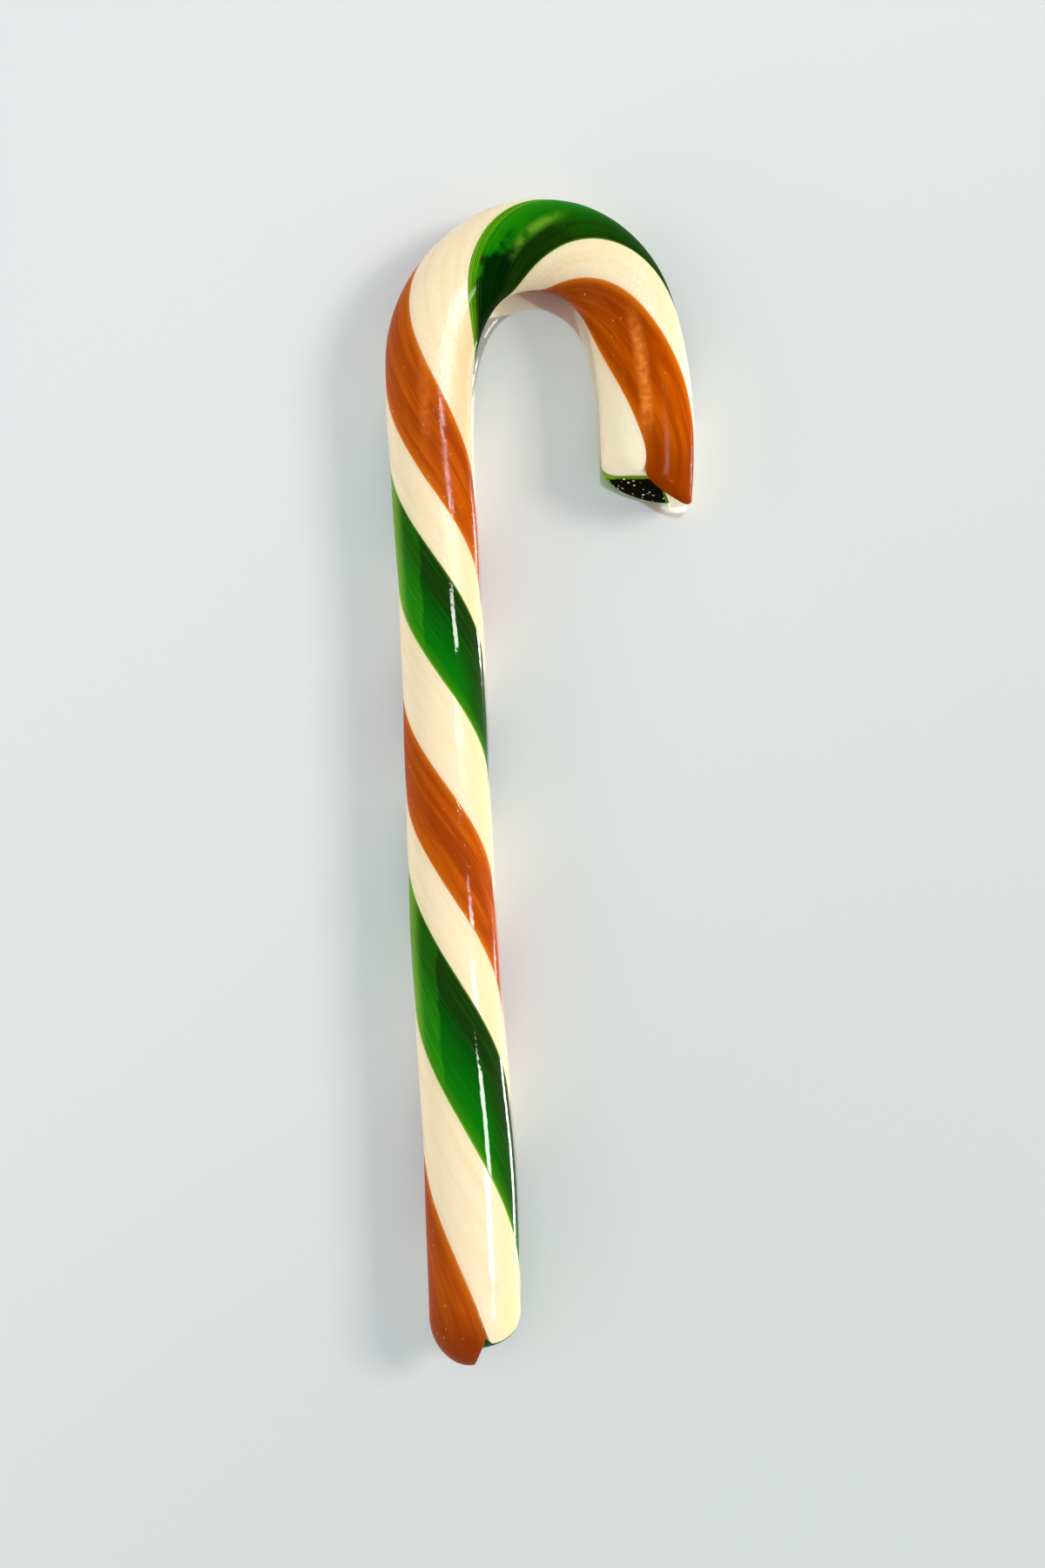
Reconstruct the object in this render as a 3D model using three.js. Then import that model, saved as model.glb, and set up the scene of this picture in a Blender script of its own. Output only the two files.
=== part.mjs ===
// A hand-pulled candy cane: four strands of boiled sugar, caramel, cream, clear green and cream,
// laid side by side, twisted into one round stick and bent into a hook while still warm.
// It lies on its side with the hook to the right. The shaft runs along +Y and +Z is up.
// Millimetres and degrees throughout.
import * as THREE from 'three';

// ---- The stick before it is bent: distances are measured along its centre line from the foot ----
const STICK_LENGTH = 228;        // length of the centre line, from the foot to the hook's end
const RING_STEP = 2;             // spacing of the cross-sections along the stick
const AXIS_HEIGHT = 6.85;        // centre line above the table; thicker stretches settle to a flat
const STRAND_GAP = 0.3;          // clearance between two neighbouring strands

// Radius of the stick: thick foot, pulled-out neck, swollen crown and leg.
const RADIUS = [[0, 7.15], [30, 6.9], [60, 6.55], [90, 6.3], [120, 6.2], [142, 6.35],
  [156, 6.9], [170, 6.5], [185, 6.95], [200, 6.95], [218, 7.2], [228, 7.0]];

// How fast the strands wind round the stick, in degrees for each millimetre: the left-handed way,
// tightest at mid-shaft and in the crown, and turned back a little where the hook's end was snipped.
const TWIST_RATE = [[0, 1.5], [8, 2.9], [20, 3.9], [30, 4.0], [60, 4.8], [90, 6.2], [130, 5.75],
  [150, 4.75], [170, 6.2], [185, 6.8], [198, 4.4], [210, 3.9], [219, 2.8], [223, 0], [228, -2.5]];
const TWIST_START = 295;         // angle of the caramel strand's first edge at the foot

// The shaft isn't quite straight: its direction wanders, in degrees from straight ahead.
const SHAFT_DRIFT = [[0, 3.6], [20, 0.7], [45, -1.9], [65, -0.3], [90, 1.0], [110, 0.3], [134, -1.1]];

// How sharply the hook turns, in degrees for each millimetre: one bend made by hand.
const BEND_RATE = [[0, 0], [134, 0], [148, 0.5], [158, 2.45], [168, 3.4], [178, 4.05],
  [190, 3.85], [197, 3.5], [203, 0.95], [214, 0.65], [228, 0.25]];

// ---- The strands, in order round the stick ----
// from, to: the strand's edges round the stick, before twisting.
// lobe: how far its middle stands out beyond the stick's radius; it falls away towards its edges.
// foot and hook: how far its end stops short, how long the rounding of the end is, how square it
// is (power), how far out it closes as a share of the radius (out), and how far that point leans
// round the stick from the strand's middle, in degrees (lean).
const STRANDS = [
  { name: 'caramel_strand', from: 0, to: 94, arcs: 7, lobe: 0.1, color: 0xb4560c, roughness: 0.16,
    foot: { short: 0.8, round: 7.2, power: 2, out: 0.35, lean: 0, snapped: true },
    hook: { short: 0, round: 1.5, power: 2, out: 0.82, lean: -10 } },
  { name: 'cream_strand_wide', from: 94, to: 191, arcs: 7, lobe: 0.04, color: 0xf6e4bd, roughness: 0.3,
    foot: { short: 4.9, round: 4.2, power: 2.6, out: 0.88, lean: -40 },
    hook: { short: 1.4, round: 2.6, power: 2, out: 0.88, lean: -40 } },
  { name: 'green_strand', from: 191, to: 298.5, arcs: 7, lobe: 0.1, color: 0x0a5c12, roughness: 0.12,
    foot: { short: 2, round: 3.2, power: 2, out: 0.35, lean: 0 },
    hook: { short: 1.7, round: 1.4, power: 2.2, out: 0.2, lean: 20 } },
  { name: 'cream_strand_narrow', from: 298.5, to: 360, arcs: 5, lobe: 0.04, color: 0xf6e4bd,
    roughness: 0.3, foot: { short: 4.6, round: 4.8, power: 2.4, out: 0.35, lean: 0 },
    hook: { short: 1.3, round: 1.2, power: 2.2, out: 0.6, lean: 0 } },
];
const TIP_SCALE = 0.22;          // a rounded end closes with a face this share of the full section
const ROUNDING_RINGS = 5;        // extra cross-sections through each rounded end

// ---- The hook's end was snipped off at a slant while the sugar was soft ----
const SNIP_REACH = 14;           // stretch over which the cross-sections lean into the slant
const SNIP_OUTWARD = 0.25;       // the outer side reaches further, per millimetre across the stick
const SNIP_UPWARD = 0.24;        // the top stops short, per millimetre of height
const PINCH_REACH = 12;          // stretch over which the snip draws the strands' meeting line away
const PINCH_RISE = 4.2;          // how far that line is drawn up at the end
const PINCH_OUTWARD = 1.5;       // and towards the hook's outer side

// ---- The caramel's foot was snapped off at a slant: a flat that faces the hook's side ----
const SNAP_START = 0.9;          // where the flat crosses the centre line
const SNAP_LEAN = 1.65;          // millimetres along the stick for each millimetre across it

const RAD = Math.PI / 180;
const TABLE_STEP = 0.25;         // spacing of the worked-out centre line

// Value of a [distance, value] profile at a distance, straight between its stations.
function profileAt(profile, distance) {
  for (let i = 1; i < profile.length; i++) {
    const [d1, v1] = profile[i];
    const [d0, v0] = profile[i - 1];
    if (distance <= d1) return v0 + (v1 - v0) * Math.max(0, (distance - d0) / (d1 - d0));
  }
  return profile[profile.length - 1][1];
}

// Smooth 0 to 1 over the last `reach` millimetres of the stick.
function nearHookEnd(distance, reach) {
  return THREE.MathUtils.smoothstep(distance, STICK_LENGTH - reach, STICK_LENGTH);
}

// The centre line, worked out in short steps: place, direction and twist at each.
function workOutCentreLine() {
  const table = [];
  let x = 0;
  let y = 0;
  let bend = 0;
  let twist = TWIST_START;
  const steps = STICK_LENGTH / TABLE_STEP;
  for (let i = 0; i <= steps; i++) {
    const distance = i * TABLE_STEP;
    const heading = (bend + profileAt(SHAFT_DRIFT, distance)) * RAD;
    table.push({ x, y, heading, twist });
    const middle = distance + TABLE_STEP / 2;
    x += Math.sin(heading) * TABLE_STEP;
    y += Math.cos(heading) * TABLE_STEP;
    bend += profileAt(BEND_RATE, middle) * TABLE_STEP;
    twist -= profileAt(TWIST_RATE, middle) * TABLE_STEP;
  }
  return table;
}

const CENTRE_LINE = workOutCentreLine();

// The centre line's local frame at a distance: along the stick, across it and up.
function frameAt(distance) {
  const place = THREE.MathUtils.clamp(distance, 0, STICK_LENGTH) / TABLE_STEP;
  const index = Math.min(Math.floor(place), CENTRE_LINE.length - 2);
  const share = place - index;
  const a = CENTRE_LINE[index];
  const b = CENTRE_LINE[index + 1];
  const mix = (key) => a[key] + (b[key] - a[key]) * share;
  const heading = mix('heading');
  return {
    centre: new THREE.Vector3(mix('x'), mix('y'), AXIS_HEIGHT),
    along: new THREE.Vector3(Math.sin(heading), Math.cos(heading), 0),
    across: new THREE.Vector3(Math.cos(heading), -Math.sin(heading), 0),
    twist: mix('twist'),
  };
}

// A point of the stick: `across` and `up` are measured from the centre line.
// Near the hook's end the cross-section leans into the slant of the snip, and
// whatever would reach below the table is settled flat onto it.
function pointAt(distance, across, up) {
  const frame = frameAt(distance);
  const lean = nearHookEnd(distance, SNIP_REACH) * (-SNIP_OUTWARD * across - SNIP_UPWARD * up);
  const point = frame.centre.clone()
    .addScaledVector(frame.along, lean)
    .addScaledVector(frame.across, across);
  point.z = Math.max(0, point.z + up);
  return point;
}

// How full a strand's section is, 0 at its very end and 1 where the rounding stops.
function fullnessAt(fromEnd, end) {
  if (fromEnd >= end.round) return 1;
  const share = 1 - Math.max(0, fromEnd) / end.round;
  return Math.max(TIP_SCALE, (1 - share ** end.power) ** (1 / end.power));
}

// Distances of a strand's cross-sections: even steps, with closer ones through the rounded ends.
function ringDistances(strand) {
  const start = strand.foot.short;
  const stop = STICK_LENGTH - strand.hook.short;
  const distances = [];
  for (let i = 0; i < ROUNDING_RINGS; i++) {
    const share = 1 - Math.cos((i / ROUNDING_RINGS) * (Math.PI / 2));
    distances.push(start + strand.foot.round * share, stop - strand.hook.round * share);
  }
  for (let d = RING_STEP; d < STICK_LENGTH; d += RING_STEP) {
    if (d > start + strand.foot.round && d < stop - strand.hook.round) distances.push(d);
  }
  return distances.sort((a, b) => a - b);
}

// One cross-section of a strand: its corner near the centre line, then its outer arc.
// Towards a rounded end the whole section shrinks round a point inside the strand.
function strandSection(strand, distance) {
  const { twist } = frameAt(distance);
  const halfGap = STRAND_GAP / 2;
  const width = strand.to - strand.from;
  const radius = profileAt(RADIUS, distance);
  const inset = Math.asin(halfGap / radius) / RAD;
  const end = distance < STICK_LENGTH / 2 ? strand.foot : strand.hook;
  const fullness = fullnessAt(distance - strand.foot.short, strand.foot)
    * fullnessAt(STICK_LENGTH - strand.hook.short - distance, strand.hook);
  const flat = strand.foot.snapped ? (distance - SNAP_START) / SNAP_LEAN : Infinity;
  const pinch = nearHookEnd(distance, PINCH_REACH);
  const meeting = [-PINCH_OUTWARD * pinch, PINCH_RISE * pinch];
  const outAlong = (angle, reach) => [reach * Math.sin(angle * RAD), reach * Math.cos(angle * RAD)];
  const middle = twist + strand.from + width / 2;
  const corner = outAlong(middle, halfGap / Math.sin((width / 2) * RAD));
  const outline = [[corner[0] + meeting[0], corner[1] + meeting[1]]];
  for (let i = 0; i <= strand.arcs; i++) {
    const share = i / strand.arcs;
    const angle = twist + strand.from + inset + (width - 2 * inset) * share;
    outline.push(outAlong(angle, radius + strand.lobe * (Math.sin(Math.PI * share) * 2 - 1)));
  }
  const closing = outAlong(middle + end.lean, end.out * radius);
  return outline.map(([across, up]) => pointAt(
    distance,
    Math.min(flat, closing[0] + (across - closing[0]) * fullness),
    closing[1] + (up - closing[1]) * fullness,
  ));
}

// A closed body through a row of like cross-sections. The side that closes each section is
// split the other way from the rest, so that neighbouring strands' flanks run parallel.
function loft(sections) {
  const size = sections[0].length;
  const positions = sections.flat().flatMap((point) => point.toArray());
  const index = [];
  for (let ring = 0; ring < sections.length - 1; ring++) {
    for (let i = 0; i < size; i++) {
      const next = (i + 1) % size;
      const a = ring * size + i;
      const b = ring * size + next;
      const c = b + size;
      const d = a + size;
      if (next === 0) index.push(a, b, d, b, c, d);
      else index.push(a, b, c, a, c, d);
    }
  }
  const last = (sections.length - 1) * size;
  for (let i = 1; i < size - 1; i++) {
    index.push(0, i + 1, i, last, last + i, last + i + 1);
  }
  const geometry = new THREE.BufferGeometry();
  geometry.setAttribute('position', new THREE.Float32BufferAttribute(positions, 3));
  geometry.setIndex(index);
  geometry.computeVertexNormals();
  return geometry;
}

function makeStrand(strand) {
  const sections = ringDistances(strand).map((distance) => strandSection(strand, distance));
  const material = new THREE.MeshStandardMaterial({
    color: strand.color, roughness: strand.roughness, metalness: 0,
  });
  const mesh = new THREE.Mesh(loft(sections), material);
  mesh.name = strand.name;
  return mesh;
}

const cane = new THREE.Group();
STRANDS.forEach((strand) => cane.add(makeStrand(strand)));

// The origin is under the middle of the cane's box, on the table.
const box = new THREE.Box3().setFromObject(cane);
const middle = box.getCenter(new THREE.Vector3());
cane.children.forEach((mesh) => mesh.position.set(-middle.x, -middle.y, -box.min.z));

export default cane;
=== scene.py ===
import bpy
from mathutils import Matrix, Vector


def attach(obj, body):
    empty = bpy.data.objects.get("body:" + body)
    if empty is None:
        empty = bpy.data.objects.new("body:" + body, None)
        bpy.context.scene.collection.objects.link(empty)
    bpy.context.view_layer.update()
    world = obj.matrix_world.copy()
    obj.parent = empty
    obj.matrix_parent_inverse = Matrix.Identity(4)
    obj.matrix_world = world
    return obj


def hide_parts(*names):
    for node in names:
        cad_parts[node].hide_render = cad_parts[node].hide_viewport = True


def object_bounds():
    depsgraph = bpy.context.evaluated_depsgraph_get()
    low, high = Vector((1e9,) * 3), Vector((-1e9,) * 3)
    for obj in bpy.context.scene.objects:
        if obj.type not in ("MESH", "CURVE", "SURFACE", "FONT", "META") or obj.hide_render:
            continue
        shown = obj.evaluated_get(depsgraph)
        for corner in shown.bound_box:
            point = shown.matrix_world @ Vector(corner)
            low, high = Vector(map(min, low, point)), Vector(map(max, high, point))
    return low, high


bl_info = {
    "name": "Twisted Candy Cane",
    "version": (1, 0, 0),
    "blender": (4, 5, 0),
    "location": "View3D > Sidebar > Candy Cane",
    "description": "A hand-pulled candy cane of four twisted sugar strands, lying on a glossy table",
    "category": "Add Mesh",
}

import math

import bmesh
import bpy
import numpy as np
from bpy.props import EnumProperty, FloatProperty, FloatVectorProperty, IntProperty, PointerProperty
from mathutils import Vector

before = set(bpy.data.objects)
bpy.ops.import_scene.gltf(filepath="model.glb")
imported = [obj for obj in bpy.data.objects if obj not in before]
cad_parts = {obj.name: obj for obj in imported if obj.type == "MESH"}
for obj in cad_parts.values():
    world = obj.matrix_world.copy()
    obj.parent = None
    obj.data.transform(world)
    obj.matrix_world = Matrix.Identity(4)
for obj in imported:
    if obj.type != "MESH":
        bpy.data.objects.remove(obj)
CAD_BOX = [list(corner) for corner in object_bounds()]

MM = 0.001

# ---- The stick before it is bent: distances in mm along its centre line, from the foot ----

# Radius of the stick: thick foot, pulled-out neck, swollen crown and leg.
RADIUS = [(0, 7.15), (30, 6.9), (60, 6.55), (90, 6.3), (120, 6.2), (142, 6.35),
          (156, 6.9), (170, 6.5), (185, 6.95), (200, 6.95), (218, 7.2), (228, 7.0)]

# How fast the strands wind round the stick, in degrees for each mm: the left-handed way,
# tightest at mid-shaft and in the crown, and turned back a little at the snipped hook end.
TWIST_RATE = [(0, 1.5), (8, 2.9), (20, 3.9), (30, 4.0), (60, 4.8), (90, 6.2), (130, 5.75),
              (150, 4.75), (170, 6.2), (185, 6.8), (198, 4.4), (210, 3.9), (219, 2.8),
              (223, 0), (228, -2.5)]
TWIST_START = 295

# The shaft isn't quite straight: its direction wanders, in degrees from straight ahead.
SHAFT_DRIFT = [(0, 3.6), (20, 0.7), (45, -1.9), (65, -0.3), (90, 1.0), (110, 0.3), (134, -1.1)]

# How sharply the hook turns, in degrees for each mm: one bend made by hand.
BEND_RATE = [(0, 0), (134, 0), (148, 0.5), (158, 2.45), (168, 3.4), (178, 4.05),
             (190, 3.85), (197, 3.5), (203, 0.95), (214, 0.65), (228, 0.25)]

# ---- The strands, in order round the stick ----
# start and stop: the strand's edges, in degrees round the stick before it is twisted.
# lobe: how far a strand's middle stands out beyond the stick's radius, in mm.
# beside: whose colour shows through at its start and stop: 1 the caramel's, -1 the green's.
# foot and hook: how far the strand's end stops short, how long its rounding is (mm), how square
# the rounding is (power), how far out it closes, as a share of the radius (out), and how far that
# point leans round the stick from the strand's middle, in degrees (lean).
STRANDS = {
    "caramel_strand": dict(
        start=0, stop=94, lobe=0.1, slot="caramel_sugar", beside=(0, 0),
        foot=dict(short=0.8, round=7.2, power=2.0, out=0.35),
        hook=dict(short=0.0, round=1.5, power=2.0, out=0.82, lean=-10)),
    "cream_strand_wide": dict(
        start=94, stop=191, lobe=0.04, slot="cream_sugar", beside=(1, -1),
        foot=dict(short=4.9, round=4.2, power=2.6, out=0.88, lean=-40),
        hook=dict(short=1.4, round=2.6, power=2.0, out=0.88, lean=-40)),
    "green_strand": dict(
        start=191, stop=298.5, lobe=0.1, slot="green_sugar", beside=(0, 0),
        foot=dict(short=2.0, round=3.2, power=2.0, out=0.35),
        hook=dict(short=1.7, round=1.4, power=2.2, out=0.2, lean=20)),
    "cream_strand_narrow": dict(
        start=298.5, stop=360, lobe=0.04, slot="cream_sugar", beside=(-1, 1),
        foot=dict(short=4.6, round=4.8, power=2.4, out=0.35),
        hook=dict(short=1.3, round=1.2, power=2.2, out=0.6)),
}

# The caramel's foot was snapped off at a slant: a flat starts this far along the axis, and its
# plane leans across the stick (mm along for each mm towards the hook's side).
SNAP_STRAND = "caramel_strand"
SNAP_START = 0.9
SNAP_LEAN = 1.65
SNAP_ROUNDING = 0.25      # rounding of that flat's edge, mm

LINE_STEP = 0.25          # spacing of the worked-out centre line, mm
GUIDE_EVERY = 2           # one guide point for this many steps
RUN_ON = 4.0              # the guide runs on past the hook's end by this much, mm
BAR_RADIUS = 7.0          # radius of the straight bar that the guide bends and swells, mm
END_STRETCH = 14.0        # stretch of the hook's end that leans into the slant of the snip, mm
TRIM_MARGIN = 4.0         # how far the bar is drawn past the slant before it is trimmed, mm
TIP_SHRINK = 0.4          # size of a rounded end's last ring, as a share of the one before
MOST_PARTS = 100          # most parts that one subdivision makes of an edge
LEAST_ARC_STEPS = 8       # fewest steps in a strand's outer arc
CORNER_SEGMENTS = 3       # segments in a rounded corner or edge
STRAND_CLEARANCE = 0.01   # half the hairline between two strands, mm
TOUCHING = 0.002          # nearer than this, a point is taken to be in its place, mm
LEAST_FULL = 0.05         # a rounded end's outline is followed in to this share of the section
BLEED_REACH = 0.55        # how far a neighbour's colour shows through from the edge, mm
SMOOTH_ANGLE = 50         # edges sharper than this stay crisp, degrees


def profile_at(profile, distance):
    """Value of a profile at one or more distances, straight between its stations."""
    return np.interp(distance, [d for d, _ in profile], [v for _, v in profile])


def centre_line(length):
    """Distance, x, y, heading and twist (mm and radians) at short steps along the centre line."""
    steps = int(round((length + RUN_ON) / LINE_STEP))
    distance = np.arange(steps + 1) * LINE_STEP
    middle = distance[:-1] + LINE_STEP / 2
    bend = np.concatenate([[0], np.cumsum(profile_at(BEND_RATE, middle) * LINE_STEP)])
    turned = np.concatenate([[0], np.cumsum(profile_at(TWIST_RATE, middle) * LINE_STEP)])
    heading = np.radians(bend + profile_at(SHAFT_DRIFT, distance))
    twist = np.radians(TWIST_START - turned)
    x = np.concatenate([[0], np.cumsum(np.sin(heading[:-1]) * LINE_STEP)])
    y = np.concatenate([[0], np.cumsum(np.cos(heading[:-1]) * LINE_STEP)])
    return distance, x, y, heading, twist


# ---- Small helpers for working as by hand ----

def start_fresh():
    """Object mode with nothing selected."""
    if bpy.context.object and bpy.context.object.mode != "OBJECT":
        bpy.ops.object.mode_set(mode="OBJECT")
    bpy.ops.object.select_all(action="DESELECT")


def choose(piece):
    """Object mode with one piece selected and active."""
    start_fresh()
    bpy.context.view_layer.objects.active = piece
    piece.select_set(True)


def edit(piece):
    """Into edit mode on one piece, with nothing selected."""
    choose(piece)
    bpy.ops.object.mode_set(mode="EDIT")
    bpy.ops.mesh.select_mode(type="VERT")
    bpy.ops.mesh.select_all(action="DESELECT")


def pick(piece, kind, test):
    """Selects the vertices, edges or faces that pass a test."""
    bpy.ops.mesh.select_mode(type=kind)
    bpy.ops.mesh.select_all(action="DESELECT")
    work = bmesh.from_edit_mesh(piece.data)
    parts = {"VERT": work.verts, "EDGE": work.edges, "FACE": work.faces}[kind]
    found = [part for part in parts if test(part)]
    for part in found:
        part.select_set(True)
    work.select_flush_mode()
    bmesh.update_edit_mesh(piece.data)
    if not found:
        raise RuntimeError(f"{piece.name}: nothing to select")


def pick_all():
    bpy.ops.mesh.select_all(action="SELECT")


def move(offset):
    bpy.ops.transform.translate(value=tuple(offset))


def draw_out(distance):
    """Extrudes the selected face along the bar."""
    bpy.ops.mesh.extrude_region_move(TRANSFORM_OT_translate={"value": (distance, 0, 0)})


def new_object(name, data):
    item = bpy.data.objects.new(name, data)
    bpy.context.scene.collection.objects.link(item)
    return item


def on_bar(angle, reach):
    """A point of the straight bar's section, which runs along +X: the angle starts at +Z."""
    return Vector((0, -reach * math.sin(angle), reach * math.cos(angle)))


def apply_modifier(piece, name):
    choose(piece)
    bpy.ops.object.modifier_apply(modifier=name)


def dome_share(steps, index):
    """Share of a rounded end's length at one of its rings, closer together towards the tip."""
    return math.sin(math.pi / 2 * index / steps)


def fullness(share, power):
    """How full the section is at a share of the rounding's length: 1 at its root, 0 at its tip."""
    return np.maximum(1 - np.clip(share, 0, 1) ** power, 0) ** (1 / power)


# ---- Sizes and colours that a user may change ----

class CaneSizes(bpy.types.PropertyGroup):
    stick_length: FloatProperty(
        name="Stick length", description="Length of the centre line, foot to hook end",
        default=228 * MM, unit="LENGTH")
    axis_height: FloatProperty(
        name="Axis height", description="Height of the centre line above the table",
        default=6.85 * MM, unit="LENGTH")
    rim_rounding: FloatProperty(
        name="Rim rounding", description="Rounding of the edges where two strands meet",
        default=0.09 * MM, unit="LENGTH")
    arc_step: FloatProperty(
        name="Arc step", description="Angle between two points round the stick",
        default=math.radians(1.5), subtype="ANGLE")
    ring_step: FloatProperty(
        name="Ring step", description="Spacing of the rings along the stick",
        default=0.5 * MM, unit="LENGTH")
    dome_rings: IntProperty(
        name="Dome rings", description="Rings in each strand's rounded end", default=14)
    snip_outward: FloatProperty(
        name="Snip slant outward", description="The hook end's outer side reaches further",
        default=math.atan(0.25), subtype="ANGLE")
    snip_upward: FloatProperty(
        name="Snip slant upward", description="The hook end's top stops short",
        default=math.atan(0.24), subtype="ANGLE")
    pinch_rise: FloatProperty(
        name="Pinch rise", description="How far the snip draws the strands' meeting line up",
        default=4.2 * MM, unit="LENGTH")
    pinch_outward: FloatProperty(
        name="Pinch outward", description="How far it draws the line to the hook's outer side",
        default=1.5 * MM, unit="LENGTH")
    lump_height: FloatProperty(
        name="Lump height", description="Gentle unevenness of the pulled surface",
        default=0.10 * MM, unit="LENGTH")
    lump_size: FloatProperty(
        name="Lump size", description="Size of the gentle lumps", default=9 * MM, unit="LENGTH")


def colour_property(label, text, value):
    """A colour setting, given as it looks on a screen, from 0 to 1."""
    return FloatVectorProperty(
        name=label, description=text, subtype="COLOR_GAMMA", size=3, min=0, max=1,
        default=value)


class CaneColours(bpy.types.PropertyGroup):
    caramel: colour_property("Caramel", "Caramel sugar", (0.79, 0.36, 0.0))
    # The next two colours also paint shade and light by which way the surface faces.
    caramel_dark: colour_property("Dark caramel", "Deepest clouds of the caramel", (0.62, 0.235, 0.0))
    caramel_pale: colour_property("Pale caramel", "Caramel near its edges", (0.83, 0.42, 0.03))
    caramel_rim: colour_property("Caramel rim", "Caramel where it thins over cream", (0.94, 0.62, 0.30))
    # A painted highlight: the soft reflection of a light overhead on the caramel's top.
    caramel_highlight: colour_property("Pearly caramel", "Pearly streak on its top", (0.93, 0.53, 0.20))
    caramel_end: colour_property("Caramel end", "Caramel at its rounded ends", (0.52, 0.19, 0.0))
    cream: colour_property("Cream", "Pulled cream sugar", (0.985, 0.90, 0.75))
    cream_pale: colour_property("Pale cream", "Cream towards the hook's end", (1.0, 0.955, 0.835))
    # Also painted shading on the side that faces +x.
    cream_warm: colour_property("Warm cream", "Warmer clouds in the cream", (0.95, 0.84, 0.645))
    cream_rose: colour_property("Rose cream", "Cream beside the caramel", (0.97, 0.80, 0.68))
    cream_leaf: colour_property("Leaf cream", "Cream beside the green", (0.87, 0.87, 0.66))
    green: colour_property("Green", "Clear green sugar where light gathers", (0.16, 0.55, 0.0))
    # A painted highlight: the soft reflection of a light overhead on the crown.
    green_sheen: colour_property("Green sheen", "Frosted patch on the crown", (0.42, 0.66, 0.16))
    green_mid: colour_property("Mid green", "Clear green sugar towards the light", (0.0, 0.47, 0.0))
    green_dark: colour_property("Deep green", "Clear green sugar in its depth", (0.0, 0.25, 0.0))
    green_shade: colour_property("Shaded green", "Inside of the hook", (0.0, 0.10, 0.0))
    # Also painted light down the flank that faces -x.
    green_rim_and_light: colour_property("Green rim", "Green where it thins over the cream", (0.50, 0.68, 0.14))
    # Also painted shade on the side that faces +x.
    green_band_and_shade: colour_property("Olive green", "Dark band along the green's edge", (0.09, 0.20, 0.01))
    # Painted glints on the beads.
    green_glint: colour_property("Glinting beads", "Wet beads on the snipped end", (0.86, 0.89, 0.80))
    green_olive: colour_property("Green border", "Along the green's lower edge", (0.27, 0.56, 0.03))
    green_cut: colour_property("Cut green", "Wet face of the snipped green end", (0.07, 0.055, 0.02))


class CaneStage(bpy.types.PropertyGroup):
    floor: colour_property("Table", "Colour of the glossy table", (1.0, 1.0, 1.0))
    floor_far: colour_property("Table, far side", "Table away from the light", (0.94, 0.95, 0.945))
    floor_mirror: FloatProperty(
        name="Table mirror", description="How much of the table's light is mirrored", default=0.5)
    key_power: FloatProperty(
        name="Key light", description="Power of the key light", default=14.3, unit="POWER")
    key_size: FloatProperty(
        name="Key size", description="Width of the key light", default=0.42, unit="LENGTH")
    glint_power: FloatProperty(
        name="Glint light", description="Power of the small light seen in the gloss",
        default=16.5, unit="POWER")
    neck_power: FloatProperty(
        name="Neck glint", description="Power of the narrow light seen in the neck's gloss",
        default=7.5, unit="POWER")
    fill_power: FloatProperty(
        name="Fill light", description="Power of the wide overhead fill", default=1.2, unit="POWER")
    side_power: FloatProperty(
        name="Side light", description="Power of the soft side panel", default=3.6, unit="POWER")
    sky: FloatProperty(
        name="Surroundings", description="Brightness of the room", default=0.56)
    camera_height: FloatProperty(
        name="Camera height", description="Camera above the cane's centre line",
        default=0.333, unit="LENGTH")
    camera_roll: FloatProperty(
        name="Camera roll", description="How far the cane leans in the view",
        default=math.radians(2.83), subtype="ANGLE")


# ---- Building one strand ----

class StrandPlan:
    """One strand's place in the straight bar, worked out from the sizes (in metres)."""

    def __init__(self, name, sizes):
        spec = STRANDS[name]
        start = math.radians(spec["start"])
        stop = math.radians(spec["stop"])
        half = (stop - start) / 2
        self.spec = spec
        self.sizes = sizes
        self.middle = (start + stop) / 2
        self.half = half
        # The outer face is an arc round a point a little off the axis, which gives the lobe.
        lobe = spec["lobe"] * MM
        shift = 2 * lobe / (1 - math.cos(half))
        edge = half - math.asin(STRAND_CLEARANCE / BAR_RADIUS)
        self.radius = BAR_RADIUS * MM + lobe - shift
        self.sweep = edge + math.asin(shift * math.sin(edge) / self.radius)
        self.arc_centre = on_bar(self.middle, shift)
        self.corner = on_bar(self.middle, STRAND_CLEARANCE * MM / math.sin(half))
        # Slant of the hook end's cut in the straight bar: x = distance + slope . (y, z)
        length = sizes.stick_length / MM
        *_, twist = centre_line(length)
        end_twist = twist[int(round(length / LINE_STEP))]
        out = math.tan(sizes.snip_outward)
        up = math.tan(sizes.snip_upward)
        self.slope_y = out * math.cos(end_twist) - up * math.sin(end_twist)
        self.slope_z = -(out * math.sin(end_twist) + up * math.cos(end_twist))
        # The pinch, from across and up at the hook's end to the straight bar.
        across = -sizes.pinch_outward
        rise = sizes.pinch_rise
        self.pinch = Vector((
            0,
            -across * math.cos(end_twist) + rise * math.sin(end_twist),
            across * math.sin(end_twist) + rise * math.cos(end_twist)))

    def closing_point(self, end):
        spec = self.spec[end]
        angle = self.middle + math.radians(spec.get("lean", 0))
        return on_bar(angle, spec["out"] * BAR_RADIUS * MM)

    def slant(self, point):
        """How far along the slanted cut lies ahead of the axis at a point of the section."""
        return self.slope_y * point.y + self.slope_z * point.z

    def body_span(self):
        foot = self.spec["foot"]
        return (foot["short"] + foot["round"]) * MM, self.sizes.stick_length - END_STRETCH * MM

    def hook_root(self):
        hook = self.spec["hook"]
        return self.sizes.stick_length - (hook["short"] + hook["round"]) * MM


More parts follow.
